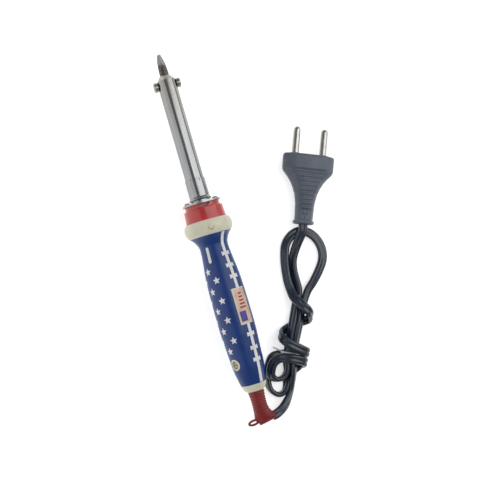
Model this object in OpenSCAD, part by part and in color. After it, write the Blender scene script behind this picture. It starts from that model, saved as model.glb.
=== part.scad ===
// Mains soldering iron lying on a bench, with its folded flat cord and two-pin plug.
// +Y runs along the iron towards the working tip, +Z is up, and z = 0 is the bench.
// Stations along the iron are distances from the end of the tip, towards the cord.

/* [Iron] */
// Length from the end of the tip to the end of the cord boot
iron_len = 250; // [245:1:255]
// Diameter of the round guard, which the iron rests on
guard_d = 32; // [31:0.5:34]
// Diameter of the insulated grip at its neck
neck_d = 19; // [18:0.5:20]
// Diameter of the insulated grip at its widest place
grip_d = 23.7; // [22.5:0.1:25]

/* [Heated end] */
// Diameter of the soldering tip
tip_d = 6; // [5.6:0.1:6]
// Length of the soldering tip
tip_len = 58; // [50:1:62]
// Outer diameter of the barrel
barrel_d = 12.4; // [12.2:0.1:12.6]
// Wall thickness of the barrel
barrel_wall = 0.5; // [0.4:0.1:0.5]
// Diameter of a set screw's head
set_head_d = 6.2; // [5:0.1:6.4]
// Turns of heating wire
winding_turns = 12; // [8:1:14]

/* [Plug and cord] */
// Width of the flat plug
plug_w = 35.3; // [34:0.1:36]
// Thickness of the flat plug
plug_t = 13.7; // [13:0.1:14]
// Length of the plug's body
plug_len = 47; // [46:1:50]
// Diameter of a plug pin
pin_d = 4.8; // [4.7:0.1:4.8]
// Distance between the two pins
pin_gap = 19; // [18:0.1:19]
// Length of a pin outside the plug
pin_len = 19; // [17:0.5:19]
// Width of the flat twin cord
cord_w = 6.4; // [6:0.1:6.6]
// Thickness of the flat twin cord
cord_t = 3.4; // [3.2:0.1:3.6]

/* [Hidden] */
$fn = 72;
axis_z = guard_d / 2;
tip_y = iron_len / 2;
tip_r = tip_d / 2;
barrel_r = barrel_d / 2;
bore_r = barrel_r - barrel_wall;
fit = 0.05;

// Stations along the iron
cone_a = 15.2;
barrel_a = 18.2;
screw_a = 20.9;
bush_end_a = 25.4;
heater_a = 27;
heater_end_a = 80;
ferrule_a = 84.9;
ferrule_end_a = 99.2;
plate_a = 100.5;
collar_a = 101.7;
barrel_end_a = 108;
guard_a = 112.9;
grip_a = 122.5;
terminal_a = 140;
terminal_end_a = 154;
badge_a = 171.8;
clamp_a = 207.7;
ring_a = 222.6;
boot_a = 227.5;

// Heater
core_r = 4.2;
mica_r = bore_r - 0.05;
wire_x = 2;
wire_r = 0.5;

// Set screws and their washers
thread_r = 1.5;
washer_t = 0.6;
washer_x = barrel_r + 0.05;
head_x = washer_x + washer_t + 0.03;
head_t = 2.1;

// Flange
plate_r = 12.6;
spacer_r = 7.6;
flange_screw_x = 9.4;
flange_thread_r = 1.2;

// Handle
cavity_r = 5.6;
skin = 1.8;
lace_turn = 32;
clamp_turn = -57;
badge_size = [10, 24];
label_size = [8, 22];
boss_r = 3.8;

// Boot
boot_neck_r = 5;
exit_x = 7.6;
exit_a = 246.8;
exit_turn = 13;

// Plug lying on the bench, with its face turned away from the cord
plug_at = [80.5, 36.5];
plug_turn = 21.5;
carrier_size = [25, 12, 8];

// Radius of the grip at stations along it
grip_r = [
    [122.5, 13.85], [124, 12.3], [126, 10.9], [129.2, neck_d / 2 + 0.05], [133.5, neck_d / 2],
    [140, neck_d / 2 + 0.6], [149, 11.1], [160, 11.65], [172, grip_d / 2], [187, grip_d / 2],
    [194, 11.45], [204, 10.9], [213, 10.2], [222.6, 8.45],
];

// Route of the cord from the boot to the hank: x, y and height of its middle
lead_route = [
    [6, -122, 16], [9.5, -121.5, 15.4], [14, -120.3, 12], [18, -118.3, 8], [21.5, -115.4, 5],
    [25, -111, 3.4], [27.4, -105, 4.8],
];

// Places a shape whose own Z runs from the tip towards the cord at a station on the iron's axis
module at(a) {
    translate([0, tip_y - a, axis_z]) rotate([90, 0, 0]) children();
}

// Turns a shape about the iron's axis, in degrees from the top towards +X
module turned(degrees) {
    rotate([0, 0, -degrees]) children();
}

// A round solid on the iron's axis from [station, radius] points
module lathe(points) {
    at(0) rotate_extrude() polygon([for (p = points) [p[1], p[0]]]);
}

// A straight rod parallel to the axis, offset sideways by x
module rod(a, end_a, r, x = 0) {
    translate([x, 0, 0]) at(a) cylinder(r = r, h = end_a - a);
}

// A smooth line of [station, radius] points through the given ones
function catmull(p0, p1, p2, p3, t) = 0.5 * (
    2 * p1 + (p2 - p0) * t + (2 * p0 - 5 * p1 + 4 * p2 - p3) * t * t
    + (3 * p1 - p0 - 3 * p2 + p3) * t * t * t
);
function smooth(p, steps) = let (n = len(p)) concat(
    [for (i = [0 : n - 2], k = [0 : steps - 1])
        catmull(p[max(i - 1, 0)], p[i], p[i + 1], p[min(i + 2, n - 1)], k / steps)],
    [p[n - 1]]
);
grip_line = smooth(grip_r, 4);
liner = inset(grip_r, skin);
function inset(line, by) = [for (p = line) [p[0], p[1] - by]];

// A closed solid skinned over rings of points, all with the same number of points
module skin_over(rings) {
    n = len(rings[0]);
    m = len(rings);
    polyhedron(
        points = [for (ring = rings, p = ring) p],
        faces = concat(
            [[for (i = [0 : n - 1]) i]],
            [for (k = [0 : m - 2], i = [0 : n - 1])
                let (j = (i + 1) % n) [k * n + i, (k + 1) * n + i, (k + 1) * n + j, k * n + j]],
            [[for (i = [n - 1 : -1 : 0]) (m - 1) * n + i]]
        )
    );
}

// Heated end

module soldering_tip() color("dimgray") {
    taper = atan((tip_r - 0.75) / 12);
    difference() {
        lathe([[0, 0], [0.2, 0.6], [0.8, 1.15], [2, 1.75], [6, 2.5], [10, 2.85], [12.5, tip_r],
               [tip_len - 0.5, tip_r],
               [tip_len, tip_r - 0.5], [tip_len, 0]]);
        for (turn = [45 : 90 : 315])
            at(0) rotate([0, 0, turn]) translate([0, 0.72, 0]) rotate([-taper, 0, 0])
                translate([-5, 0, -3]) cube([10, 5, 18]);
    }
}

module nose_bush() color("silver") difference() {
    lathe([[cone_a, tip_r + fit], [cone_a, tip_r + 1], [barrel_a, barrel_r], [barrel_a, bore_r],
           [bush_end_a, bore_r], [bush_end_a, tip_r + fit]]);
    at(screw_a) rotate([0, 90, 0]) cylinder(r = thread_r + fit, h = 20, center = true);
}

module barrel_tube() color("silver") difference() {
    lathe([[barrel_a, bore_r], [barrel_a, barrel_r], [barrel_end_a, barrel_r], [barrel_end_a, bore_r]]);
    at(screw_a) rotate([0, 90, 0]) cylinder(r = thread_r + 0.2, h = 20, center = true);
}

// A slotted pan-head screw along +Z, with its head from z = 0 up and its thread below
module slotted_screw(head_r, head_h, shank_r, shank_len) {
    difference() {
        union() {
            rotate_extrude() polygon([[0, 0], [head_r, 0], [head_r, head_h * 0.55],
                [head_r * 0.92, head_h * 0.8], [head_r * 0.7, head_h * 0.96], [0, head_h]]);
            translate([0, 0, -shank_len]) cylinder(r = shank_r, h = shank_len);
        }
        translate([-head_r - 1, -head_r * 0.14, head_h * 0.5])
            cube([2 * head_r + 2, head_r * 0.28, head_h]);
    }
}

module set_screw(side) {
    at(screw_a) rotate([0, side * 90, 0]) translate([0, 0, head_x])
        slotted_screw(set_head_d / 2, head_t, thread_r, head_x - tip_r - 0.08);
}

module set_washer(side) {
    at(screw_a) rotate([0, side * 90, 0]) translate([0, 0, washer_x]) difference() {
        cylinder(r = set_head_d / 2 - 0.3, h = washer_t);
        translate([0, 0, -1]) cylinder(r = thread_r + fit, h = washer_t + 2);
    }
}

module set_screw_left() color("gray") set_screw(-1);
module set_screw_right() color("gray") set_screw(1);
module set_washer_left() color("lightgray") set_washer(-1);
module set_washer_right() color("lightgray") set_washer(1);

module heater_core() color("white") lathe([
    [heater_a, tip_r + 0.1], [heater_a, core_r], [heater_end_a, core_r], [heater_end_a, tip_r + 0.1],
]);

module heater_winding() color("tan") {
    r = core_r + 0.45;
    pitch = (heater_end_a - heater_a - 6) / winding_turns;
    at(heater_a + 3) skin_over([
        for (k = [0 : 10 * winding_turns]) let (turn = 36 * k, z = pitch * k / 10)
            [for (c = [0 : 90 : 270]) [
                (r + 0.2 * cos(c)) * cos(turn), (r + 0.2 * cos(c)) * sin(turn), z + 0.2 * sin(c),
            ]],
    ]);
}

module mica_wrap() color("wheat") lathe([
    [heater_a, mica_r - 0.3], [heater_a, mica_r], [heater_end_a, mica_r], [heater_end_a, mica_r - 0.3],
]);

module end_insulator() color("ivory") difference() {
    rod(heater_end_a, heater_end_a + 6, mica_r);
    for (side = [-1, 1]) rod(heater_end_a - 1, heater_end_a + 7, wire_r + 0.1, side * wire_x);
}

module lead_wires() color("silver")
    for (side = [-1, 1]) rod(heater_end_a + 0.5, terminal_a + 6, wire_r, side * wire_x);

module lead_sleeves() color("white") for (side = [-1, 1]) difference() {
    rod(heater_end_a + 6.5, terminal_a - 1, 1.1, side * wire_x);
    rod(heater_end_a + 6, terminal_a, wire_r + fit, side * wire_x);
}

// Flange between the hot end and the handle

module barrel_ferrule() color("silver") difference() {
    lathe([[ferrule_a, barrel_r], [ferrule_a + 0.2, barrel_r + 0.5], [96.8, barrel_r + 0.5],
           [97.7, barrel_r + 0.7], [98.1, barrel_r + 1.1], [98.6, barrel_r + 1.2],
           [ferrule_end_a, barrel_r + 1], [ferrule_end_a, barrel_r]]);
    at(ferrule_a + 1.4) turned(20) rotate([-90, 0, 0]) cylinder(r = 0.6, h = 10);
}

module flange_holes(r, h) {
    for (side = [-1, 1]) translate([side * flange_screw_x, 0, -1]) cylinder(r = r, h = h);
}

module flange_plate() color("lightgray") at(plate_a) difference() {
    cylinder(r = plate_r, h = collar_a - plate_a);
    translate([0, 0, -1]) cylinder(r = barrel_r + fit, h = 5);
    flange_holes(flange_thread_r + 0.1, 5);
}

module flange_screws() color("gray") for (side = [-1, 1])
    translate([side * flange_screw_x, 0, 0]) at(plate_a) rotate([180, 0, 0])
        slotted_screw(1.8, 1.7, flange_thread_r, 18);

module insulator_ring() color("white") at(collar_a) difference() {
    cylinder(r = spacer_r - fit, h = 3);
    translate([0, 0, -1]) cylinder(r = barrel_r + 0.1, h = 5);
}

module heat_collar() color("firebrick") difference() {
    lathe([[collar_a, spacer_r], [collar_a, 11.2], [collar_a + 0.3, 11.4], [104.4, 11.5],
           [104.6, 12.5], [105, 12.9], [109, 13.1], [guard_a, 13.5], [guard_a, barrel_r + 0.1],
           [collar_a + 3, barrel_r + 0.1], [collar_a + 3, spacer_r]]);
    at(collar_a) flange_holes(flange_thread_r + 0.1, 20);
    at(collar_a - 0.7) translate([0, 8, 0]) rotate([-90, 0, 0]) cylinder(r = 3.9, h = 5);
}

// Handle

// The volume that the badge's white frame fills, square to the grip's surface
module badge_block(size, depth = 0) {
    at(badge_a) turned(lace_turn) translate([-size[0] / 2, 5 + depth, -size[1] / 2])
        cube([size[0], 12, size[1]]);
}

module clamp_bore(r, from_r, to_r) {
    at(clamp_a) turned(clamp_turn) translate([0, from_r, 0]) rotate([-90, 0, 0])
        cylinder(r = r, h = to_r - from_r);
}

module grip_solid(by) {
    lathe(concat([[grip_a, 0]], inset(grip_line, by), [[ring_a, 0]]));
}

module handle_core() color("beige") difference() {
    union() {
        lathe(concat(
            [[guard_a, 0], [guard_a, 13.9], [113.8, 14.9], [115.2, 15.7], [116.8, axis_z],
             [118.2, axis_z], [119.9, 15.6], [121.4, 14.9], [grip_a, 13.9]],
            liner,
            [[ring_a, 0]]
        ));
        intersection() {
            grip_solid(0.1);
            badge_block(badge_size);
        }
        intersection() {
            grip_solid(0);
            clamp_bore(boss_r, 6, 20);
        }
        index_mark();
    }
    rod(guard_a - 1, 117, barrel_r + 0.1);
    rod(116, ring_a + 1, cavity_r);
    at(guard_a) flange_holes(flange_thread_r + fit, 8);
    clamp_bore(2.7, 8.4, 20);
    clamp_bore(1.3, 3, 10);
    difference() {
        badge_block(label_size);
        grip_solid(1);
    }
}

// A small raised triangle on top of the guard that marks the tip's flat
module index_mark() {
    at(117.5) translate([0, axis_z - 1, 0]) rotate([-90, 0, 0])
        linear_extrude(1.4) polygon([[-1.6, -1.8], [1.6, -1.8], [0, 1.8]]);
}

module grip_sleeve() color("royalblue") difference() {
    grip_solid(0);
    lathe(concat([[grip_a - 1, 0], [grip_a - 1, liner[0][1]]], liner,
                 [[ring_a + 1, liner[len(liner) - 1][1]], [ring_a + 1, 0]]));
    badge_block(badge_size);
    clamp_bore(boss_r, 6, 20);
}

module badge_plate() color("lightcoral") intersection() {
    difference() {
        grip_solid(0.35);
        grip_solid(1);
    }
    badge_block(label_size);
}

module terminal_block() color("lightgray") difference() {
    at(terminal_a) translate([-4.2, -3.2, 0]) cube([8.4, 6.4, terminal_end_a - terminal_a]);
    for (side = [-1, 1]) rod(terminal_a - 1, terminal_end_a + 1, 1, side * wire_x);
    for (side = [-1, 1], a = [terminal_a + 3.5, terminal_end_a - 3.5])
        translate([side * wire_x, 0, 0]) at(a) rotate([-90, 0, 0]) cylinder(r = 1.2, h = 10);
}

module terminal_screws() color("goldenrod")
    for (side = [-1, 1], a = [terminal_a + 3.5, terminal_end_a - 3.5])
        translate([side * wire_x, 0, 0]) at(a) translate([0, 1, 0]) rotate([-90, 0, 0]) difference() {
            cylinder(r = 1.1, h = 2.8);
            translate([-2, -0.2, 2.2]) cube([4, 0.4, 2]);
        }

// A cord core: bare in the terminal and insulated up to the cord's outer jacket
module cord_core(side) {
    rod(terminal_end_a - 5, terminal_end_a + 1, wire_r, side * wire_x);
    rod(terminal_end_a + 1, 196, 0.95, side * wire_x);
}

module live_core() color("saddlebrown") cord_core(-1);
module neutral_core() color("steelblue") cord_core(1);

module flat_bar(a, end_a, more = 0) {
    at(a) turned(clamp_turn) translate([-cord_w / 2 - more, -cord_t / 2 - more, 0])
        cube([cord_w + 2 * more, cord_t + 2 * more, end_a - a]);
}

module cord_inner() color("darkslategray") flat_bar(196, 238);

module cord_clamp() color("dimgray") difference() {
    at(clamp_a - 5) turned(clamp_turn) translate([-2.6, cord_t / 2, 0]) cube([5.2, 2.9, 10]);
    clamp_bore(1.3, 1, 8);
}

module clamp_screw() color("darkkhaki") at(clamp_a) turned(clamp_turn)
    translate([0, 8.4, 0]) rotate([-90, 0, 0]) slotted_screw(2.5, 1.5, 1.25, 5.6);

module end_ring() color("beige") lathe([
    [ring_a, boot_neck_r + fit], [ring_a, 8.45], [224.4, 8.1], [226, 7.3], [227, 6.5],
    [boot_a, 6], [boot_a, boot_neck_r + fit],
]);

// Outline of the boot's flat tail seen from above: x and station
boot_tail = [
    [4.6, 232], [4.7, 236], [5.2, 239.6], [6.3, 242.7], [8.1, 245.2], [6.4, 249], [3, 249.3],
    [-1, 249.2], [-4.6, 249.8], [-7.4, 250], [-9.6, 249.4], [-10.6, 247.9], [-9.8, 246.3],
    [-7.3, 244.2], [-5.6, 241.6], [-4.9, 238], [-4.7, 232],
];

module cord_boot() color("brown") difference() {
    union() {
        rod(219.8, 222.4, cavity_r - 0.2);
        rod(222.4, 238, boot_neck_r);
        translate([0, tip_y, axis_z - 3.4]) linear_extrude(6.8)
            polygon([for (p = boot_tail) if (p[0] > -5.7) [p[0], -p[1]]]);
        translate([0, tip_y, axis_z - 1.7]) linear_extrude(3.4)
            polygon([for (p = boot_tail) [p[0], -p[1]]]);
        translate([exit_x - 7, tip_y - exit_a, axis_z]) rotate([0, 90, exit_turn])
            cylinder(r = 3, h = 7);
    }
    flat_bar(219, 238, 0.02);
    translate([-7.2, tip_y - 247.4, axis_z]) {
        for (x = [-1.2, 1.2]) translate([x, 0, -5]) cylinder(r = 1.1, h = 10);
        translate([-1.2, -1.1, -5]) cube([2.4, 2.2, 10]);
    }
}

// Cord: a flat tube along its free stretch, and the outer shape of its folded hank

function unit(v) = v / norm(v);
function heading(p, i) = unit(p[min(i + 1, len(p) - 1)] - p[max(i - 1, 0)]);

// A tube with the cord's flat section, level across its width
module flat_tube(line) skin_over([
    for (i = [0 : len(line) - 1])
        let (d = heading(line, i), across = unit(cross(d, [0, 0, 1])), up = cross(across, d))
            [for (c = [0 : 36 : 324]) line[i] + across * cord_w / 2 * cos(c) + up * cord_t / 2 * sin(c)],
]);

module cord_lead() color("darkslategray") flat_tube(smooth(lead_route, 3));

module cord_tail() color("darkslategray")
    at_plug() flat_tube([for (y = [-plug_len + 6, -plug_len, -plug_len - 5]) [0, y, 0]]);

// A flat lobe between two round ends [x, y, radius], standing on the bench
module lobe(p, q, height) {
    linear_extrude(height) hull() for (c = [p, q]) translate([c[0], c[1]]) circle(r = c[2], $fn = 32);
}

module cord_hank() color("darkslategray") {
    lobe([59, -25, 16.5], [48.5, -57, 8.5], 8);
    lobe([47.5, -60, 8.5], [37.5, -77, 11.5], 14.4);
    lobe([37.5, -77, 11.5], [31, -90, 11.5], 14.4);
    lobe([31, -90, 11.5], [20, -103, 11], 10.6);
}

module cord_tie() color("whitesmoke") {
    translate([32, -87.6, 0]) rotate([0, 0, -27.7]) {
        difference() {
            translate([-12, -1.2, 0]) cube([24, 2.4, 14.8]);
            translate([-11.5, -2, 0.4]) cube([23, 4, 13.9]);
        }
        translate([-15, -1, 5]) cube([3.4, 2, 1.4]);
    }
}

// Plug

module at_plug() {
    translate([plug_at[0], plug_at[1], plug_t / 2]) rotate([0, 0, -plug_turn]) children();
}

// Outline of the plug: distance behind its face, width and thickness
plug_outline = [
    [0, plug_w - 1, plug_t - 1], [0.6, plug_w, plug_t], [10.5, plug_w, plug_t], [12.5, plug_w - 3, 13.6],
    [15, 27, 13.4], [18.5, 21.6, 13], [22, 17.8, 12.5], [27, 14.4, 11.6], [33, 12.6, 10.8],
    [44.4, 12.2, 10.2], [44.6, 14.4, 11.4], [plug_len, 14.4, 11.4],
];

// Eight-sided section with wide sloping shoulders
function plug_ring(s) = let (
    w = s[1] / 2, t = s[2] / 2, flat = w - min(6.2, w * 0.42), side = t * 0.3
) [for (p = [[-flat, -t], [flat, -t], [w, -side], [w, side], [flat, t], [-flat, t], [-w, side], [-w, -side]])
    [p[0], -s[0], p[1]]];

module plug_body() color("dimgray") at_plug() difference() {
    skin_over([for (s = plug_outline) plug_ring(s)]);
    translate([-carrier_size[0] / 2, -1.5 - carrier_size[1], -carrier_size[2] / 2]) cube(carrier_size);
    for (side = [-1, 1]) translate([side * pin_gap / 2, 1, 0]) rotate([90, 0, 0])
        cylinder(r = 1.6, h = 5);
}

module pin_carrier() color("gray") at_plug() difference() {
    translate([-carrier_size[0] / 2, -1.5 - carrier_size[1], -carrier_size[2] / 2]) cube(carrier_size);
    for (side = [-1, 1]) translate([side * pin_gap / 2, 1, 0]) rotate([90, 0, 0])
        cylinder(r = 1.6, h = 11);
}

module plug_pins() color("silver") at_plug() for (side = [-1, 1])
    translate([side * pin_gap / 2, 0, 0]) rotate([-90, 0, 0]) rotate_extrude() polygon(concat(
        [[0, -10], [1.6, -10], [1.6, 0], [pin_d / 2, 0]],
        [for (c = [0 : 15 : 90]) [pin_d / 2 * cos(c), pin_len - pin_d / 2 + pin_d / 2 * sin(c)]]
    ));

soldering_tip();
nose_bush();
barrel_tube();
set_screw_left();
set_screw_right();
set_washer_left();
set_washer_right();
heater_core();
heater_winding();
mica_wrap();
end_insulator();
lead_wires();
lead_sleeves();
barrel_ferrule();
flange_plate();
flange_screws();
insulator_ring();
heat_collar();
handle_core();
grip_sleeve();
badge_plate();
terminal_block();
terminal_screws();
live_core();
neutral_core();
cord_inner();
cord_clamp();
clamp_screw();
end_ring();
cord_boot();
cord_lead();
cord_tail();
cord_hank();
cord_tie();
plug_body();
pin_carrier();
plug_pins();
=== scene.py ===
"""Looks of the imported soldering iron: camera, cord, finishes and the details that CAD leaves out."""

import math

import bpy
import numpy as np
from mathutils import Matrix, Vector


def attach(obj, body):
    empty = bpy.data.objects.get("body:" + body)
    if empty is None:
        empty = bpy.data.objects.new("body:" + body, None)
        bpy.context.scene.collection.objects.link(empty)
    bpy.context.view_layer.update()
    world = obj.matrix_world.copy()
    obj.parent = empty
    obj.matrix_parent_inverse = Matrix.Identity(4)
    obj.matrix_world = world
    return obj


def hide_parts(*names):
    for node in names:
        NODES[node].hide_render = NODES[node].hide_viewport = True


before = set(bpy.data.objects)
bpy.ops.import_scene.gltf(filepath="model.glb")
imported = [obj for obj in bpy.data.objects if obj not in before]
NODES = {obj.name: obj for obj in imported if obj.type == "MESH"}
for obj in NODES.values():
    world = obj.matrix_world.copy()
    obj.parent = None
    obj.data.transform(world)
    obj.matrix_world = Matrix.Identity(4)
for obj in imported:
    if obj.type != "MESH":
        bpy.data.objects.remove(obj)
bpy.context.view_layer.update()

MM = 0.001
TIP_Y = 125.0  # the tip's apex
AXIS_Z = 16.0  # height of the iron's axis
SCENE = bpy.context.scene
SCENE.view_settings.view_transform = "Standard"


# Camera

CAMERA_AT = Vector((-0.0595, -0.017, 0.5327))
LOOK_AT = Vector((0.0247, -0.014, 0.0))
CAMERA_ROLL = -0.2819
LENS, SENSOR = 57.46, 36


def add_camera():
    ahead = (LOOK_AT - CAMERA_AT).normalized()
    right = ahead.cross(Vector((0, 1, 0))).normalized()
    up = right.cross(ahead)
    c, s = math.cos(CAMERA_ROLL), math.sin(CAMERA_ROLL)
    right, up = c * right + s * up, c * up - s * right
    data = bpy.data.cameras.new("camera")
    data.lens, data.sensor_width = LENS, SENSOR
    data.clip_start = 0.01
    camera = bpy.data.objects.new("camera", data)
    camera.matrix_world = Matrix.Translation(CAMERA_AT) @ Matrix((right, up, -ahead)).transposed().to_4x4()
    SCENE.collection.objects.link(camera)
    SCENE.camera = camera


add_camera()


# Meshes. Lengths from here on are in millimetres, in the part's frame.


def piece(name, verts, faces, material, body="iron", smooth=True):
    mesh = bpy.data.meshes.new(name)
    mesh.from_pydata([tuple(float(c) * MM for c in v) for v in verts], [], faces)
    mesh.validate()
    mesh.update()
    mesh.materials.append(material)
    if smooth:
        mesh.polygons.foreach_set("use_smooth", [True] * len(mesh.polygons))
    obj = bpy.data.objects.new(name, mesh)
    SCENE.collection.objects.link(obj)
    if body:
        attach(obj, body)
    return obj


class Solid:
    """Collects vertices and faces of several parts of one piece."""

    def __init__(self):
        self.verts, self.faces = [], []

    def add(self, verts, faces):
        base = len(self.verts)
        self.verts += [tuple(v) for v in verts]
        self.faces += [tuple(base + i for i in f) for f in faces]

    def loft(self, rings, caps=True, closed=False):
        """Skins rings that have the same number of points; closed joins the last ring to the first."""
        n, m = len(rings[0]), len(rings)
        faces = [
            (k * n + i, k * n + (i + 1) % n, (k + 1) % m * n + (i + 1) % n, (k + 1) % m * n + i)
            for k in range(m if closed else m - 1)
            for i in range(n)
        ]
        if caps and not closed:
            faces += [tuple(range(n))[::-1], tuple((m - 1) * n + i for i in range(n))]
        self.add([p for ring in rings for p in ring], faces)

    def make(self, name, material, body="iron", smooth=True):
        return piece(name, self.verts, self.faces, material, body, smooth)


def catmull(points, steps):
    """A smooth line through points, as rows, with the same steps between each two."""
    p = np.asarray(points, float)
    last = len(p) - 1
    t = (np.arange(steps) / steps)[:, None]
    out = []
    for i in range(last):
        a, b, c, d = p[max(i - 1, 0)], p[i], p[i + 1], p[min(i + 2, last)]
        out.append(
            0.5 * (2 * b + (c - a) * t + (2 * a - 5 * b + 4 * c - d) * t**2 + (3 * b - a - 3 * c + d) * t**3)
        )
    return np.vstack(out + [p[-1:]])


def circle(count):
    """Evenly spaced angles round a whole turn."""
    return np.arange(count) * (2 * math.pi / count)


def unit(v):
    v = np.asarray(v, float)
    return v / np.linalg.norm(v)


def smoothstep(x, low, high):
    t = np.clip((x - low) / (high - low), 0, 1)
    return t * t * (3 - 2 * t)


# Materials


def linear(rgb):
    """Linear colour from screen values 0 to 255."""
    return tuple(((c / 255 + 0.055) / 1.055) ** 2.4 if c > 10 else c / 255 / 12.92 for c in rgb) + (1.0,)


def scaled(color, factor, add=0.0):
    return tuple(min(1.0, c * factor + add) for c in color[:3]) + (1.0,)


class Graph:
    def __init__(self, name):
        self.mat = bpy.data.materials.new(name)
        self.mat.use_nodes = True
        self.tree = self.mat.node_tree
        self.bsdf = self.tree.nodes["Principled BSDF"]
        self.coords = self.node("ShaderNodeTexCoord").outputs["Object"]

    def node(self, kind):
        return self.tree.nodes.new(kind)

    def link(self, a, b):
        self.tree.links.new(a, b)

    def feed(self, socket, value):
        """Links a socket, or sets a number or colour."""
        if isinstance(value, bpy.types.NodeSocket):
            self.link(value, socket)
        else:
            socket.default_value = value

    def stretched(self, scale):
        m = self.node("ShaderNodeMapping")
        m.inputs["Scale"].default_value = scale
        self.link(self.coords, m.inputs["Vector"])
        return m.outputs["Vector"]

    def noise(self, size_mm, detail=3.0, rough=0.55, vector=None):
        n = self.node("ShaderNodeTexNoise")
        n.inputs["Scale"].default_value = 1 / (size_mm * MM)
        n.inputs["Detail"].default_value = detail
        n.inputs["Roughness"].default_value = rough
        self.link(vector or self.coords, n.inputs["Vector"])
        return n.outputs["Fac"]

    def ramp(self, factor, low, high, out_low=0.0, out_high=1.0):
        n = self.node("ShaderNodeMapRange")
        for key, value in (("From Min", low), ("From Max", high), ("To Min", out_low), ("To Max", out_high)):
            n.inputs[key].default_value = value
        self.link(factor, n.inputs["Value"])
        return n.outputs["Result"]

    def mix(self, factor, a, b):
        n = self.node("ShaderNodeMix")
        n.data_type = "RGBA"
        for index, value in ((0, factor), (6, a), (7, b)):
            self.feed(n.inputs[index], value)
        return n.outputs[2]

    def math(self, operation, a, b):
        n = self.node("ShaderNodeMath")
        n.operation = operation
        self.feed(n.inputs[0], a)
        self.feed(n.inputs[1], b)
        return n.outputs[0]

    def along_iron(self):
        n = self.node("ShaderNodeSeparateXYZ")
        self.link(self.coords, n.inputs[0])
        return n.outputs[1]

    def bump(self, height, distance_mm):
        n = self.node("ShaderNodeBump")
        n.inputs["Strength"].default_value = 1.0
        n.inputs["Distance"].default_value = distance_mm * MM
        self.link(height, n.inputs["Height"])
        self.link(n.outputs["Normal"], self.bsdf.inputs["Normal"])

    def done(self, color, rough, metal=0.0, coat=0.0, coat_rough=0.1, spec=0.5, sheen=0.0):
        for key, value in (
            ("Base Color", color), ("Roughness", rough), ("Metallic", metal), ("Coat Weight", coat),
            ("Coat Roughness", coat_rough), ("IOR", 1.5), ("Specular IOR Level", spec), ("Sheen Weight", sheen),
        ):
            self.feed(self.bsdf.inputs[key], value)
        return self.mat


def moulded(name, rgb, rough=0.35, vary=0.1, grain_mm=0.25, relief_mm=0.012, dirt=None, **rest):
    """Moulded or sprayed plastic and rubber: faint mottling, fine grain and an uneven gloss."""
    g = Graph(name)
    base = linear(rgb)
    cloud = g.ramp(g.noise(7, 4), 0.35, 0.65)
    color = g.mix(cloud, scaled(base, 1 - 2 * vary), scaled(base, 1 + vary, 0.002))
    if dirt:
        spots = g.ramp(g.noise(2.2, 6, 0.65), 0.6, 0.78, 0.0, dirt[1])
        color = g.mix(spots, color, linear(dirt[0]))
    gloss = g.ramp(g.noise(3.5, 5), 0.3, 0.7, rough * 0.85, rough * 1.2)
    g.bump(g.noise(grain_mm, 3), relief_mm)
    return g.done(color, gloss, **rest)


METAL_VARY = 0.12


def metal(name, rgb, rough, stretch=(1, 1, 1), size_mm=0.4, tint=None):
    """Metal with drawn or turned lines along the axis that stretch makes long, and faint stains."""
    g = Graph(name)
    base = linear(rgb)
    lines = g.noise(size_mm, 4, 0.6, g.stretched(stretch))
    stains = g.noise(5, 5, 0.6)
    color = g.mix(g.ramp(lines, 0.3, 0.7), scaled(base, 1 - 2 * METAL_VARY), base)
    if tint:
        color = g.mix(g.ramp(stains, 0.45, 0.75, 0.0, tint[1]), color, linear(tint[0]))
    gloss = g.ramp(stains, 0.3, 0.75, rough * 0.8, rough * 1.35)
    g.bump(lines, 0.004)
    return g.done(color, gloss, metal=1.0)


def chromed(name):
    """Chromed tube with drawn lines, and straw heat colours that fade back from its hot end."""
    g = Graph(name)
    lines = g.noise(0.5, 4, 0.6, g.stretched((1, 0.02, 1)))
    stains = g.noise(6, 5, 0.6)
    color = g.mix(g.ramp(lines, 0.3, 0.7), linear((132, 134, 135)), linear((156, 157, 158)))
    heat = g.ramp(g.math("ADD", g.along_iron(), g.math("MULTIPLY", stains, 0.02)), 0.07, 0.125, 0.0, 0.4)
    color = g.mix(heat, color, linear((148, 140, 122)))
    gloss = g.ramp(stains, 0.35, 0.7, 0.13, 0.2)
    g.bump(lines, 0.003)
    return g.done(color, gloss, metal=1.0)


def tip_finish():
    """Plated copper: grey oxide, darker and browner towards the barrel, with tinned ground faces."""
    g = Graph("tip_plating")
    stains = g.noise(1.4, 6, 0.65)
    oxide = g.mix(g.ramp(stains, 0.35, 0.65), linear((70, 68, 66)), linear((118, 114, 108)))
    along = g.math("ADD", g.along_iron(), g.math("MULTIPLY", stains, 0.004))
    color = g.mix(g.ramp(along, 0.1185, 0.1205), oxide, linear((150, 148, 146)))
    color = g.mix(g.ramp(along, 0.113, 0.106, 0.0, 0.7), color, linear((92, 76, 62)))
    g.bump(g.noise(0.25, 5), 0.012)
    return g.done(color, g.ramp(stains, 0.3, 0.7, 0.28, 0.5), metal=1.0)


def ceramic(name, rgb, rough):
    return moulded(name, rgb, rough, 0.06, 0.15, 0.02, dirt=((150, 130, 100), 0.35))


BRAID_PITCH = 0.5


def woven(name, rgb):
    """Braided glass-fibre sleeving, with painted shade in the weave's low places."""
    g = Graph(name)
    waves = []
    for sign in (1, -1):
        n = g.node("ShaderNodeTexWave")
        m = g.stretched((1, 1, 1))
        m.node.inputs["Rotation"].default_value = (0, 0, sign * 0.9)
        n.inputs["Scale"].default_value = 0.3 / (BRAID_PITCH * MM)
        g.link(m, n.inputs["Vector"])
        waves.append(n.outputs["Fac"])
    height = g.math("MULTIPLY", *waves)
    base = linear(rgb)
    # painted shade: darker where the weave is low
    color = g.mix(height, scaled(base, 0.55), base)
    g.bump(height, 0.06)
    return g.done(color, 0.8, sheen=0.2)


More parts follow.
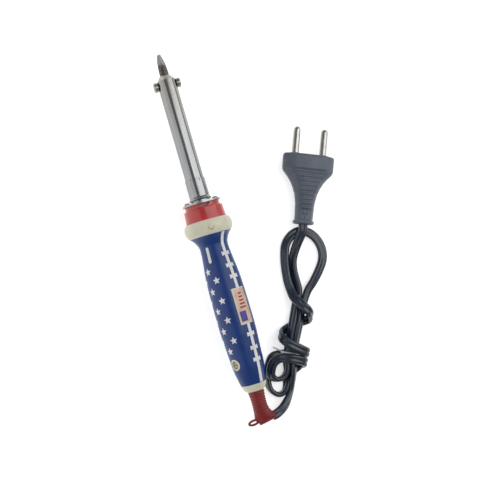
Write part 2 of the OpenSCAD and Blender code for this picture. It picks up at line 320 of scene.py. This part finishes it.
M = {
    "blue": moulded("blue_lacquer", (6, 52, 119), 0.34, 0.05, 0.5, 0.006, coat=0.06, coat_rough=0.2, spec=0.4),
    "cream": moulded("cream_plastic", (216, 215, 190), 0.4, 0.05, 0.3, 0.01, dirt=((150, 138, 112), 0.22)),
    "print": moulded("white_print", (226, 226, 224), 0.38, 0.03, 0.3, 0.006),
    # painted shade: the dark crescent beside the guard's raised index
    "index_shade": moulded("painted_index_shade", (128, 122, 96), 0.5, 0.1),
    "coral": moulded("coral_label", (226, 186, 166), 0.42, 0.07, 0.3, 0.006, dirt=((206, 104, 92), 0.6)),
    "mark": moulded("label_mark", (150, 48, 44), 0.45, 0.05),
    "label_blue": moulded("label_blue", (62, 58, 146), 0.42, 0.06),
    "red": moulded("red_collar_gloss", (186, 34, 32), 0.34, 0.06, 0.6, 0.006, coat=0.55, coat_rough=0.16),
    "boot": moulded("dark_red_rubber", (128, 20, 22), 0.42, 0.09, 0.22, 0.02),
    "plug": moulded("slate_plug", (86, 95, 107), 0.4, 0.08, 0.18, 0.02),
    "carrier": moulded("plug_insert_plastic", (46, 47, 52), 0.5, 0.08),
    "cord": moulded("slate_black_jacket", (22, 36, 54), 0.28, 0.12, 0.3, 0.006, coat=0.35, coat_rough=0.1),
    "tie": moulded("clear_white_tie", (226, 226, 224), 0.35, 0.05),
    "insulator": ceramic("white_insulator", (232, 230, 222), 0.55),
    "ceramic": ceramic("heater_ceramic", (222, 216, 202), 0.6),
    "mica": moulded("mica_sheet", (176, 150, 108), 0.35, 0.2, 0.4, 0.02, dirt=((120, 96, 60), 0.5)),
    "nylon": moulded("nylon", (214, 212, 202), 0.45, 0.05),
    "core_brown": moulded("brown_insulation", (96, 52, 32), 0.4, 0.08),
    "core_blue": moulded("blue_insulation", (40, 92, 160), 0.4, 0.08),
    "sleeving": woven("glass_fibre_sleeving", (222, 218, 204)),
    "chrome": chromed("chromed_tube"),
    "steel": metal("turned_steel", (186, 184, 180), 0.24, (1, 12, 1), 0.6, tint=((140, 126, 104), 0.5)),
    "plate": metal("stamped_plate", (176, 176, 174), 0.3, (1, 1, 1), 0.35, tint=((128, 120, 108), 0.4)),
    "zinc": metal("zinc_plated", (168, 166, 160), 0.3, (1, 1, 1), 0.3, tint=((126, 112, 88), 0.55)),
    "dull": moulded("dull_plated_screw", (172, 168, 140), 0.4, 0.08, dirt=((104, 96, 72), 0.5)),
    "nickel": metal("nickel_pins", (178, 177, 172), 0.2, (0.15, 0.15, 1), 0.5, tint=((150, 144, 130), 0.35)),
    "wire": metal("resistance_wire", (112, 102, 92), 0.4, tint=((70, 52, 44), 0.6)),
    "brass": metal("brass_screw", (190, 154, 84), 0.3, tint=((120, 88, 44), 0.5)),
    "tip": tip_finish(),
}

FINISHES = {
    "tip": ["soldering_tip"],
    "steel": ["nose_bush"],
    "chrome": ["barrel_tube", "barrel_ferrule"],
    "zinc": ["set_screw_left", "set_screw_right", "set_washer_left", "set_washer_right", "flange_screws"],
    "dull": ["clamp_screw"],
    "plate": ["flange_plate"],
    "ceramic": ["heater_core", "end_insulator"],
    "wire": ["heater_winding", "lead_wires"],
    "mica": ["mica_wrap"],
    "sleeving": ["lead_sleeves"],
    "insulator": ["insulator_ring"],
    "red": ["heat_collar"],
    "cream": ["handle_core", "end_ring"],
    "blue": ["grip_sleeve"],
    "coral": ["badge_plate"],
    "nylon": ["terminal_block", "cord_clamp"],
    "brass": ["terminal_screws"],
    "core_brown": ["live_core"],
    "core_blue": ["neutral_core"],
    "cord": ["cord_inner"],
    "carrier": ["pin_carrier"],
    "nickel": ["plug_pins"],
}
for finish, names in FINISHES.items():
    for name in names:
        for slot in NODES[name].material_slots:
            slot.material = M[finish]


# Cord. The route's first points are those of part.scad, a little raised where the cord crosses itself.
# The last column is the flat section's tilt in degrees, or WRAP where its width lies along the hank's waist.

WRAP = "wrap"
WAIST_AT = np.array([47.4, -59.1])
WAIST_ALONG = np.array([-0.465, -0.885])
WAIST_ACROSS = np.array([0.885, -0.465])


def waist(along, across, z, tilt=WRAP):
    """A route point given along and across the hank's waist."""
    x, y = WAIST_AT + along * WAIST_ALONG + across * WAIST_ACROSS
    return (x, y, z, tilt)


LEAD = [
    (6, -122, 16, 0), (9.5, -121.5, 15.4, 0), (14, -120.3, 12, 5), (18, -118.3, 8, 20),
    (21.5, -115.4, 5, 50), (25, -111, 3.4, 70), (27.4, -105, 5.8, 70),
]
CORD_ROUTE = LEAD + [
    (29.4, -99.2, 7.4, 60),
    waist(37.6, 1.6, 7, 55), waist(31, 0.8, 6.4, 55), waist(24, 0.6, 6.4, 50), waist(14, 0.6, 6.8, 45),
    waist(6, 0.6, 6, 45), waist(-1, 1.2, 4.4, 45),
    # upper loop
    (54.4, -51.4, 3.2, 35), (60, -46.6, 2.6, 25), (65.8, -40.6, 2.2, 15), (70.3, -34.4, 1.9, 10),
    (72.1, -27.5, 1.8, 8), (70.8, -20, 1.8, 8), (66.8, -14, 1.8, 8), (60.6, -11, 1.8, 10),
    (54.2, -12.4, 1.9, 15), (48.9, -17, 2.2, 30), (45.9, -24, 2.5, 40), (44, -32.5, 2.6, 45),
    (43, -41, 2.9, 45), (43, -47.6, 4.4, 35),
    # over the waist and round it
    waist(-4, -6.8, 7, 20), waist(-1.4, -3.2, 10.4), waist(1.4, 1, 12.2), waist(4, 4.8, 11.4),
    waist(6.4, 7, 7.4), waist(8.8, 6.4, 3.8), waist(11.4, 2, 1.9), waist(14.4, -2, 1.7),
    waist(17.4, -5.8, 2), waist(20.4, -9.2, 3.8), waist(22.8, -10.5, 7.2), waist(25, -9, 10.8),
    waist(26.8, -5, 12.3), waist(28.2, 0, 12.6), waist(29.4, 4.6, 12.1), waist(30.2, 8.2, 10.2),
    waist(30.8, 9.5, 7), waist(31.4, 8.2, 3.8), waist(32.2, 4.6, 1.9), waist(33.2, 0, 1.7),
    waist(34.8, -5, 1.75, 10),
    # outer lower loop
    (19.4, -87, 2.2, 25), (15.2, -91.4, 2.35, 35), (12.4, -96.4, 2.45, 40), (10.8, -102.4, 2.7, 65),
    (11.6, -108.2, 2.9, 85), (15.4, -112.2, 2.9, 90), (19.8, -111.6, 2.9, 85), (22.6, -107.8, 2.7, 65),
    (24.4, -103.6, 2.3, 35), (28, -100.2, 1.85, 10), (32.2, -98.8, 1.75, 0),
    # under the lead and round the waist again
    waist(39.2, 7.4, 2.8), waist(38, 9.2, 6), waist(37, 8.4, 9.8), waist(36.4, 4.8, 12),
    waist(36.2, 0.2, 12.6), waist(36.6, -4.4, 11.8), waist(37.8, -8.8, 9.8, 15),
    # inner lower loop
    (17.4, -90.2, 9.2, 22), (14.4, -94.4, 8.8, 28), (13.8, -98.6, 8, 50), (16.8, -101.7, 7, 80),
    (21.2, -101.6, 6.4, 90), (24.6, -98.8, 6.4, 80), (26, -94.6, 6.3, 65), (26.9, -90.4, 6.3, 60),
    waist(31, -3.8, 6.4, 55), waist(23, -4, 6.2, 55), waist(14, -4, 6, 55), waist(6, -4, 5, 55),
    waist(-2, -3.9, 3.8, 50),
    # to the plug
    (48.2, -49.2, 3, 50), (48.6, -42, 2.8, 50), (48.9, -35, 2.8, 50), (50.6, -28, 3, 45),
    (54.4, -21.4, 3.8, 30), (58.9, -15.2, 5.6, 10), (61.6, -11.77, 6.6, 0), (63.4, -7.2, 6.85, 0),
    (64.14, -5.37, 6.85, 0),
]
CORD_WIDTH, CORD_THICK = 6.4, 3.4
BENCH_GAP = 0.03
CORD_STEPS = 5


def width_directions(route):
    """Which way the flat section's width points at each point of the route."""
    p = np.array([r[:3] for r in route], float)
    ahead = np.gradient(p, axis=0)
    out = []
    for t, tilt in zip(ahead, (r[3] for r in route)):
        t = unit(t)
        if tilt == WRAP:
            options = [np.append(WAIST_ALONG, 0.0)]
        else:
            side = unit(np.cross(t, (0, 0, 1)))
            up = np.cross(side, t) * math.sin(math.radians(tilt))
            side = side * math.cos(math.radians(tilt))
            options = [side + up, side - up] if out else [side + up]
        options = [unit(w - t * (w @ t)) for w in options]
        options += [-w for w in options]
        out.append(max(options, key=lambda w: w @ out[-1]) if out else options[0])
    return np.array(out)


def twin_section(count=28):
    """Outline of the twin flex: two lobes joined by a shallow valley."""
    half, r = CORD_WIDTH / 2, CORD_THICK / 2
    lobe = half - r
    out = []
    for k in range(count):
        c, s = math.cos(2 * math.pi * k / count), math.sin(2 * math.pi * k / count)
        x = half * c
        over = max(abs(x) - lobe, 0)
        oval = math.sqrt(max(r * r - over * over, 0))
        lobes = math.sqrt(max(r * r - (abs(x) - lobe) ** 2, 0))
        out.append((x, math.copysign(0.5 * (oval + lobes), s) if abs(s) > 1e-9 else 0.0))
    return out


def cord_rings(line, width):
    section = np.array(twin_section())
    rings = []
    for p, t, w in zip(line, np.gradient(line, axis=0), width):
        t = unit(t)
        w = unit(w - t * (w @ t))
        n = np.cross(w, t)
        rings.append(p + section[:, :1] * w + section[:, 1:] * n)
    return np.array(rings)


def add_cord():
    line = catmull([r[:3] for r in CORD_ROUTE], CORD_STEPS)
    width = catmull(width_directions(CORD_ROUTE), CORD_STEPS)
    rings = cord_rings(line, width)
    # raise whatever would dip into the bench, and ease the lift out on both sides
    dip = np.maximum(BENCH_GAP - rings[:, :, 2].min(axis=1), 0)
    dip = np.max([np.roll(dip, k) for k in range(-4, 5)], axis=0)
    line[:, 2] += np.convolve(dip, np.ones(7) / 7, "same")
    rings = cord_rings(line, width)
    solid = Solid()
    solid.loft([list(ring) for ring in rings])
    length = float(np.linalg.norm(np.diff(line, axis=0), axis=1).sum()) * MM
    return solid.make("flat_cord", M["cord"]), line * MM, length


cord, cord_line, cord_length = add_cord()
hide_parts("cord_lead", "cord_hank", "cord_tail")


# Width along the hank and thickness outwards of the tie's flat strip
TIE_SECTION = [(-1, 0), (-0.3, 0.35), (0.3, 0.35), (1, 0), (0, -0.1)]


def add_tie():
    """A white twist tie round the folded strands, with its twisted ends standing out."""
    solid = Solid()
    loop = []
    for k in range(48):
        a = 2 * math.pi * k / 48
        c, s = math.cos(a), math.sin(a)
        across = -1.7 + 6.0 * math.copysign(abs(c) ** 0.6, c)
        up = 6.4 + 3.3 * math.copysign(abs(s) ** 0.6, s)
        x, y, _, _ = waist(33.6, across, 0)
        loop.append(np.array([x, y, up]))
    along = np.append(WAIST_ALONG, 0.0)
    middle = np.mean(loop, axis=0)
    rings = []
    for p in loop:
        out = unit(p - middle)
        rings.append([p + along * a + out * b for a, b in TIE_SECTION])
    solid.loft(rings, closed=True)
    for phase in (0, math.pi):
        rings = []
        for k in range(60):
            t = k / 59
            turn = phase + t * 5 * math.pi
            x, y, _, _ = waist(33.2 - 1.6 * t, -7.4 - 6.2 * t, 0)
            centre = np.array([x, y, 6.4 - 2.2 * t])
            offset = along * 0.45 * math.cos(turn) + np.array([0, 0, 0.45 * math.sin(turn)])
            rings.append([
                centre + offset + along * 0.3 * math.cos(c) + np.array([0, 0, 0.3 * math.sin(c)])
                for c in circle(8)
            ])
        solid.loft(rings)
    tie = solid.make("twist_tie", M["tie"])
    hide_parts("cord_tie")
    return tie


tie = add_tie()


# Plug, in its own frame: x across, w back from its face, z up from its middle

PLUG_AT = np.array([80.5, 36.5, 6.88])
PLUG_TURN = math.radians(-21.5)


def plug_point(x, w, z):
    c, s = math.cos(PLUG_TURN), math.sin(PLUG_TURN)
    return PLUG_AT + np.array([x * c + w * s, x * s - w * c, z])


# Distance back from the face, width and thickness
PLUG_OUTLINE = np.array([
    (0, 33.3, 11.9), (0.25, 34.2, 12.8), (0.7, 34.9, 13.4), (1.4, 35.3, 13.7), (5, 35.3, 13.7),
    (9.5, 35.2, 13.7), (11, 34.7, 13.65), (12.4, 33.2, 13.6), (13.8, 30.8, 13.5), (15.6, 27.4, 13.35),
    (18.5, 23, 13), (22, 19.2, 12.5), (27, 15.4, 11.7), (33, 13.2, 11), (40, 12.6, 10.4),
    (44.2, 12.4, 10.3), (44.6, 13, 10.8), (44.9, 14.2, 11.5), (46.4, 14.4, 11.6), (46.8, 13.9, 11.2),
    (47, 13, 10.4),
])


def plug_section(width, thick, count=88):
    """An eight-sided section with wide sloping shoulders and rounded corners, as evenly spaced points."""
    w, t = width / 2, thick / 2
    flat, side = w - min(6.4, w * 0.42), t * 0.3
    half = [(-flat, -t), (flat, -t), (w, -side), (w, side)]
    p = np.array(half + [(-x, -z) for x, z in half])
    for cut in (0.16, 0.25, 0.25):
        q = np.roll(p, -1, axis=0)
        p = np.stack([p * (1 - cut) + q * cut, p * cut + q * (1 - cut)], 1).reshape(-1, 2)
    p = np.vstack([p, p[:1]])
    run = np.concatenate([[0], np.cumsum(np.linalg.norm(np.diff(p, axis=0), axis=1))])
    at = np.linspace(0, run[-1], count, endpoint=False)
    return np.stack([np.interp(at, run, p[:, i]) for i in range(2)], 1)


PIN_GAP = 19.0
# Distance back from the face and radius of the low collar round each pin
PIN_COLLAR = [(0.4, 3.9), (-0.35, 3.9), (-0.6, 3.6), (-0.6, 2.45), (0.4, 2.45)]
RIBS = [11.6 + 3.05 * k for k in range(9)]
RIB_LIFT = 0.6


def rib_height(x, w):
    """Height of the cross ribs, which get shorter towards the neck."""
    total = 0.0
    for k, middle in enumerate(RIBS):
        half = 12.2 - 1.15 * k if k < 4 else 7.6 - 0.75 * (k - 4)
        lengthwise = float(1 - smoothstep(abs(w - middle), 0.45, 1.0))
        total += lengthwise * float(1 - smoothstep(abs(x), half - 0.5, half))
    return RIB_LIFT * total


def add_plug():
    stations = np.unique(np.concatenate([
        np.arange(0, 1.6, 0.2), np.arange(2, 10, 0.8), np.arange(10, 38, 0.3), np.arange(38, 44, 0.7),
        np.arange(44, 47.01, 0.15),
    ]))
    solid, rings = Solid(), []
    for w in stations:
        width, thick = (float(np.interp(w, PLUG_OUTLINE[:, 0], PLUG_OUTLINE[:, i])) for i in (1, 2))
        ring = []
        for x, z in plug_section(width, thick):
            face = smoothstep(abs(z), thick * 0.38, thick * 0.48)
            lift = float(face) * (rib_height(x, w) - RIB_LIFT * (10 < w < 37.5))
            ring.append(plug_point(x, w, math.copysign(abs(z) + lift, z)))
        rings.append(ring)
    solid.loft(rings)
    for side in (-1, 1):
        solid.loft(
            [
                [plug_point(side * PIN_GAP / 2 + r * math.cos(c), w, r * math.sin(c)) for c in circle(40)]
                for w, r in PIN_COLLAR
            ],
            closed=True,
        )
    plug = solid.make("plug_moulding", M["plug"])
    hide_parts("plug_body")
    marks = Solid()
    frame_out = [(-1.35, 36.6), (1.35, 36.6), (1.35, 40.6), (-1.35, 40.6)]
    top = 5.27  # the neck's upper face
    for (x0, w0), (x1, w1) in zip(frame_out, frame_out[1:] + frame_out[:1]):
        rings = []
        for x, w in ((x0, w0), (x1, w1)):
            ring = []
            for c in circle(8):
                off = 0.32 * math.cos(c)
                dx, dw = (off, 0) if x0 == x1 else (0, off)
                ring.append(plug_point(x + dx, w + dw, top + 0.32 * math.sin(c)))
            rings.append(ring)
        marks.loft(rings)
    marks.loft([
        [plug_point(q * math.cos(c), 42.6 + q * math.sin(c), top - 0.1 + h) for c in circle(16)]
        for q, h in ((0.55, 0), (0.55, 0.3), (0.33, 0.5))
    ])
    mark = marks.make("plug_neck_mark", M["plug"])
    return plug, mark


plug, plug_mark = add_plug()


# Print on the grip

GRIP_R = catmull(
    [
        (122.5, 13.85), (124, 12.3), (126, 10.9), (129.2, 9.55), (133.5, 9.5), (140, 10.1), (149, 11.1),
        (160, 11.65), (172, 11.85), (187, 11.85), (194, 11.45), (204, 10.9), (213, 10.2), (222.6, 8.45),
    ],
    4,
)


# Heights over the grip: print, print's skirt, and marks on the label, which lies below the surface
INK_LIFT, SUNK, LABEL_LIFT = 0.07, -0.12, -0.26


def on_grip(azimuth, a, lift):
    """A point above the grip's surface: degrees from the top towards +X, and the distance from the tip."""
    r = float(np.interp(a, GRIP_R[:, 0], GRIP_R[:, 1])) + lift
    c = math.radians(azimuth)
    return (r * math.sin(c), TIP_Y - a, AXIS_Z + r * math.cos(c))


def grip_offset(azimuth, a, p, q, lift):
    """The point p mm round the grip and q mm back from the given place."""
    r = float(np.interp(a, GRIP_R[:, 0], GRIP_R[:, 1]))
    return on_grip(azimuth + math.degrees(p / r), a + q, lift)


class Print(Solid):
    """Thin raised print that follows the grip: a skin and a short skirt that sinks into the surface."""

    def outline(self, points, azimuth, a, lift=INK_LIFT, rings=4):
        """A filled outline that can be seen whole from its middle."""
        fine = []
        for (x0, y0), (x1, y1) in zip(points, points[1:] + points[:1]):
            cuts = max(1, int(math.hypot(x1 - x0, y1 - y0) / 0.7))
            fine += [(x0 + (x1 - x0) * k / cuts, y0 + (y1 - y0) * k / cuts) for k in range(cuts)]
        rows = [[grip_offset(azimuth, a, x, y, SUNK) for x, y in fine]]
        for k in range(rings, 0, -1):
            s = k / rings
            rows.append([grip_offset(azimuth, a, x * s, y * s, lift) for x, y in fine])
        n = len(fine)
        verts = [p for row in rows for p in row] + [grip_offset(azimuth, a, 0, 0, lift)]
        faces = [
            (k * n + i, (k + 1) * n + i, (k + 1) * n + (i + 1) % n, k * n + (i + 1) % n)
            for k in range(len(rows) - 1)
            for i in range(n)
        ]
        inner, middle = rings * n, len(verts) - 1
        faces += [(inner + i, middle, inner + (i + 1) % n) for i in range(n)]
        self.add(verts, faces)

    def strip(self, azimuth, a0, a1, half, lift=INK_LIFT):
        """A band of the given half width along the grip."""
        cuts = max(2, int((a1 - a0) / 0.8))
        rows = []
        for k in range(cuts + 1):
            a = a0 + (a1 - a0) * k / cuts
            row = [(half, SUNK)] + [(half * s, lift) for s in (1, 0.33, -0.33, -1)] + [(-half, SUNK)]
            rows.append([grip_offset(azimuth, a, p, 0, up) for p, up in row])
        n = len(rows[0])
        faces = [
            (k * n + i, k * n + i + 1, (k + 1) * n + i + 1, (k + 1) * n + i)
            for k in range(cuts)
            for i in range(n - 1)
        ]
        self.add([p for row in rows for p in row], faces)


def star(r):
    return [
        (q * math.sin(k * math.pi / 5), -q * math.cos(k * math.pi / 5))
        for k in range(10)
        for q in [r if k % 2 == 0 else r * 0.45]
    ]


def rounded(half_x, half_y, r):
    out = []
    for cx, cy, start in ((1, -1, 270), (1, 1, 0), (-1, 1, 90), (-1, -1, 180)):
        for k in range(4):
            c = math.radians(start + 30 * k)
            out.append((cx * (half_x - r) + r * math.cos(c), cy * (half_y - r) + r * math.sin(c)))
    return out


# Places of the print: degrees round the grip, and distances from the tip
STAR_R = 2.6
LACES = [32, 212]
TICKS = [136.5, 144.5, 152, 190.5, 199.5, 207.2]
BOW = [(-3, -1.35), (-1.6, -1.1), (0, -0.85), (1.6, -1.1), (3, -1.35)]
BOW += [(x, -y) for x, y in BOW[::-1]]
NEAR_STARS = [152, 165.5, 178.4, 191.9]
FAR_STARS = [145.6, 158.7, 171.7, 185, 198.4]


def add_print():
    ink = Print()
    # the near lace stops at the label, and the far one runs through
    near, far = LACES
    for lace, strips, ticks in (
        (near, [(122.8, 159.9), (183.7, 222.3)], TICKS),
        (far, [(122.8, 222.3)], TICKS + [160, 168, 175.5, 183]),
    ):
        for a0, a1 in strips:
            ink.strip(lace, a0, a1, 1.15)
        for a in ticks:
            ink.outline(BOW, lace, a, 0.1)
    for azimuth in (-30, 94, 150, -86):
        for a in NEAR_STARS:
            ink.outline(star(STAR_R), azimuth, a)
    for azimuth in (-57.3, 122):
        for a in FAR_STARS:
            ink.outline(star(STAR_R), azimuth, a)
    for azimuth in (-37, 143):
        ink.outline(rounded(1.0, 5.2, 0.9), azimuth, 135.2)
    done = ink.make("grip_print", M["print"], smooth=False)


add_print()


def add_guard_crescent_shade():
    """A dark crescent on the guard beside the raised index: painted shade of the index bump."""
    rows = []
    for k in range(9):
        t = -1 + k / 4
        a, x = 119.4 - 1.1 * t * t, 1.9 * t
        rows.append([
            (x, TIP_Y - a - d, AXIS_Z + h + math.sqrt(15.93**2 - x * x) - 0.02 * (a - 117.5) ** 2)
            for d, h in ((-0.5, -0.4), (-0.4, 0.2), (0.4, 0.2), (0.5, -0.4))
        ])
    solid = Solid()
    solid.loft(rows)
    solid.make("guard_crescent", M["index_shade"])


add_guard_crescent_shade()


def add_label():
    """Generic marks on the label: a blue field and a row of heat-level bars."""
    blue, bars = Print(), Print()
    blue.outline(rounded(2.4, 3.3, 0.3), LACES[0] - 6.5, 178.6, LABEL_LIFT)
    for k in range(5):
        bars.outline(rounded(1.2 + 0.35 * k, 0.5, 0.3), LACES[0] + 1, 163.6 + 2.3 * k, LABEL_LIFT, 2)
    for name, solid, finish in (("label_field", blue, "label_blue"), ("label_bars", bars, "mark")):
        solid.make(name, M[finish], smooth=False)


add_label()


# Boot: one smooth rubber moulding, blended from its parts


def blended(name, solid, voxel_mm, rounds, material):
    """Joins overlapping closed parts into one skin and softens their meeting lines."""
    rough = solid.make(name + "_parts", material, body=None)
    remesh = rough.modifiers.new("join", "REMESH")
    remesh.mode, remesh.voxel_size = "VOXEL", voxel_mm * MM
    soften = rough.modifiers.new("soften", "SMOOTH")
    soften.factor, soften.iterations = 0.5, rounds
    graph = bpy.context.evaluated_depsgraph_get()
    mesh = bpy.data.meshes.new_from_object(rough.evaluated_get(graph))
    bpy.data.objects.remove(rough)
    mesh.name = name
    mesh.materials.clear()
    mesh.materials.append(material)
    mesh.polygons.foreach_set("use_smooth", [True] * len(mesh.polygons))
    obj = bpy.data.objects.new(name, mesh)
    SCENE.collection.objects.link(obj)
    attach(obj, "iron")
    return obj


# Station, lowest and highest x, and half thickness of the boot
BOOT_RINGS = [
    (226.6, -5.3, 5.3, 5.3), (227.6, -5.3, 5.3, 5.3), (229, -5.0, 5.2, 5.0), (233, -4.7, 4.7, 4.7),
    (238, -4.7, 4.6, 4.5), (240.5, -4.9, 5.1, 4.3), (242.8, -5.3, 6.2, 4.1), (244.6, -5.6, 7.4, 3.9),
    (246, -5.6, 7.9, 3.7), (247.4, -5.2, 7.6, 3.3), (248.5, -4.2, 6.6, 2.7), (249.2, -2.8, 5.4, 1.6),
]


def boot_section(a):
    """Middle, half width and half thickness of the boot at a distance from the tip."""
    low, high, half = (float(np.interp(a, *zip(*((row[0], row[i]) for row in BOOT_RINGS)))) for i in (1, 2, 3))
    return (low + high) / 2, (high - low) / 2, half


def add_boot():
    solid, rings = Solid(), []
    for a in (row[0] for row in BOOT_RINGS):
        mid, wide, half = boot_section(a)
        rings.append([
            (mid + wide * math.cos(c), TIP_Y - a, AXIS_Z + half * math.sin(c)) for c in circle(48)
        ])
    solid.loft(rings)
    # cord outlet
    turn = math.radians(13)
    rings = []
    for d, r in ((-5, 3.4), (0, 3.3), (4.5, 3.0), (6.9, 2.85), (7.1, 2.6)):
        centre = np.array([0.8 + d * math.cos(turn), -122.0 + d * math.sin(turn) * 0.5, AXIS_Z])
        side = np.array([-math.sin(turn), math.cos(turn), 0])
        rings.append([
            centre + side * r * 0.92 * math.cos(c) + np.array([0, 0, r * math.sin(c)]) for c in circle(32)
        ])
    solid.loft(rings)
    # hanging eye
    rings = []
    for k in range(48):
        c = 2 * math.pi * k / 48
        centre = np.array([-6.9 + 3.35 * math.cos(c), -122.5 + 1.35 * math.sin(c) + 0.2 * math.cos(c), AXIS_Z])
        out = unit((math.cos(c) / 3.35, math.sin(c) / 1.35, 0))
        rings.append([
            centre + out * 0.72 * math.cos(q) + np.array([0, 0, 1.5 * math.sin(q)]) for q in circle(16)
        ])
    solid.loft(rings, closed=True)
    # ridges round the neck
    for k in range(7):
        a = 229.4 + 1.75 * k
        mid, wide, half = boot_section(a)
        rings = []
        for c in circle(64):
            centre = np.array([mid + wide * math.cos(c), TIP_Y - a, AXIS_Z + half * math.sin(c)])
            out = unit((math.cos(c), 0, math.sin(c)))
            rings.append([
                centre + out * 0.42 * math.cos(q) + np.array([0, 0.5 * math.sin(q), 0]) for q in circle(8)
            ])
        solid.loft(rings, closed=True)
    # fan of ridges towards the outlet
    for k in range(5):
        turn = math.radians(38 - 16 * k)
        rings = []
        for d in np.linspace(2.6, 7.2, 8):
            x, y = 0.4 + d * math.cos(turn), -120.4 + d * math.sin(turn) * 0.8 - 1.0
            mid, wide, half = boot_section(TIP_Y - y)
            z = half * math.sqrt(max(0.0, 1 - ((x - mid) / wide) ** 2))
            rings.append([
                (
                    x - math.sin(turn) * 0.4 * math.cos(q),
                    y + math.cos(turn) * 0.4 * math.cos(q),
                    AXIS_Z + z + 0.38 * math.sin(q),
                )
                for q in circle(8)
            ])
        solid.loft(rings)
        solid.loft([[(x, y, 2 * AXIS_Z - z) for x, y, z in ring[::-1]] for ring in rings])
    boot = blended("rubber_boot", solid, 0.24, 5, M["boot"])
    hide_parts("cord_boot")


add_boot()


# Bench and light


BENCH_HALF = 3.0


def add_floor():
    mesh = bpy.data.meshes.new("bench")
    s = BENCH_HALF
    mesh.from_pydata([(-s, -s, 0), (s, -s, 0), (s, s, 0), (-s, s, 0)], [], [(0, 1, 2, 3)])
    g = Graph("pale_bench")
    color = g.mix(g.noise(40, 3), linear((246, 246, 246)), linear((250, 250, 250)))
    g.bsdf.inputs["Emission Color"].default_value = (1, 1, 1, 1)
    g.bsdf.inputs["Emission Strength"].default_value = 0.6
    mesh.materials.append(g.done(color, 0.5, spec=0.3))
    floor = bpy.data.objects.new("bench", mesh)
    SCENE.collection.objects.link(floor)


def area_light(name, at, target, size, power):
    data = bpy.data.lights.new(name, "AREA")
    data.shape, data.size, data.size_y = "RECTANGLE", *size
    data.energy = power
    light = bpy.data.objects.new(name, data)
    light.location = at
    light.rotation_euler = (Vector(target) - Vector(at)).to_track_quat("-Z", "Y").to_euler()
    SCENE.collection.objects.link(light)


def add_world():
    world = bpy.data.worlds.new("studio")
    SCENE.world = world
    world.use_nodes = True
    tree = world.node_tree
    coords = tree.nodes.new("ShaderNodeTexCoord")
    split = tree.nodes.new("ShaderNodeSeparateXYZ")
    ramp = tree.nodes.new("ShaderNodeValToRGB")
    tree.links.new(coords.outputs["Generated"], split.inputs[0])
    tree.links.new(split.outputs[2], ramp.inputs[0])
    tree.links.new(ramp.outputs[0], tree.nodes["Background"].inputs["Color"])
    points = ramp.color_ramp.elements
    points[0].position, points[0].color = 0.0, (0.6, 0.6, 0.6, 1)
    points[1].position, points[1].color = 1.0, (0.27, 0.27, 0.28, 1)
    for at, value in ((0.5, 0.3), (0.7, 0.27)):
        points.new(at).color = (value, value, value, 1)
    tree.nodes["Background"].inputs["Strength"].default_value = 1.0


add_floor()
add_world()
area_light("window", (0.62, 0.06, 0.8), (0.02, 0, 0), (0.62, 1.4), 5.4)
area_light("card", (-0.9, 0.0, 0.42), (0.0, 0, 0.02), (0.9, 1.4), 3.5)
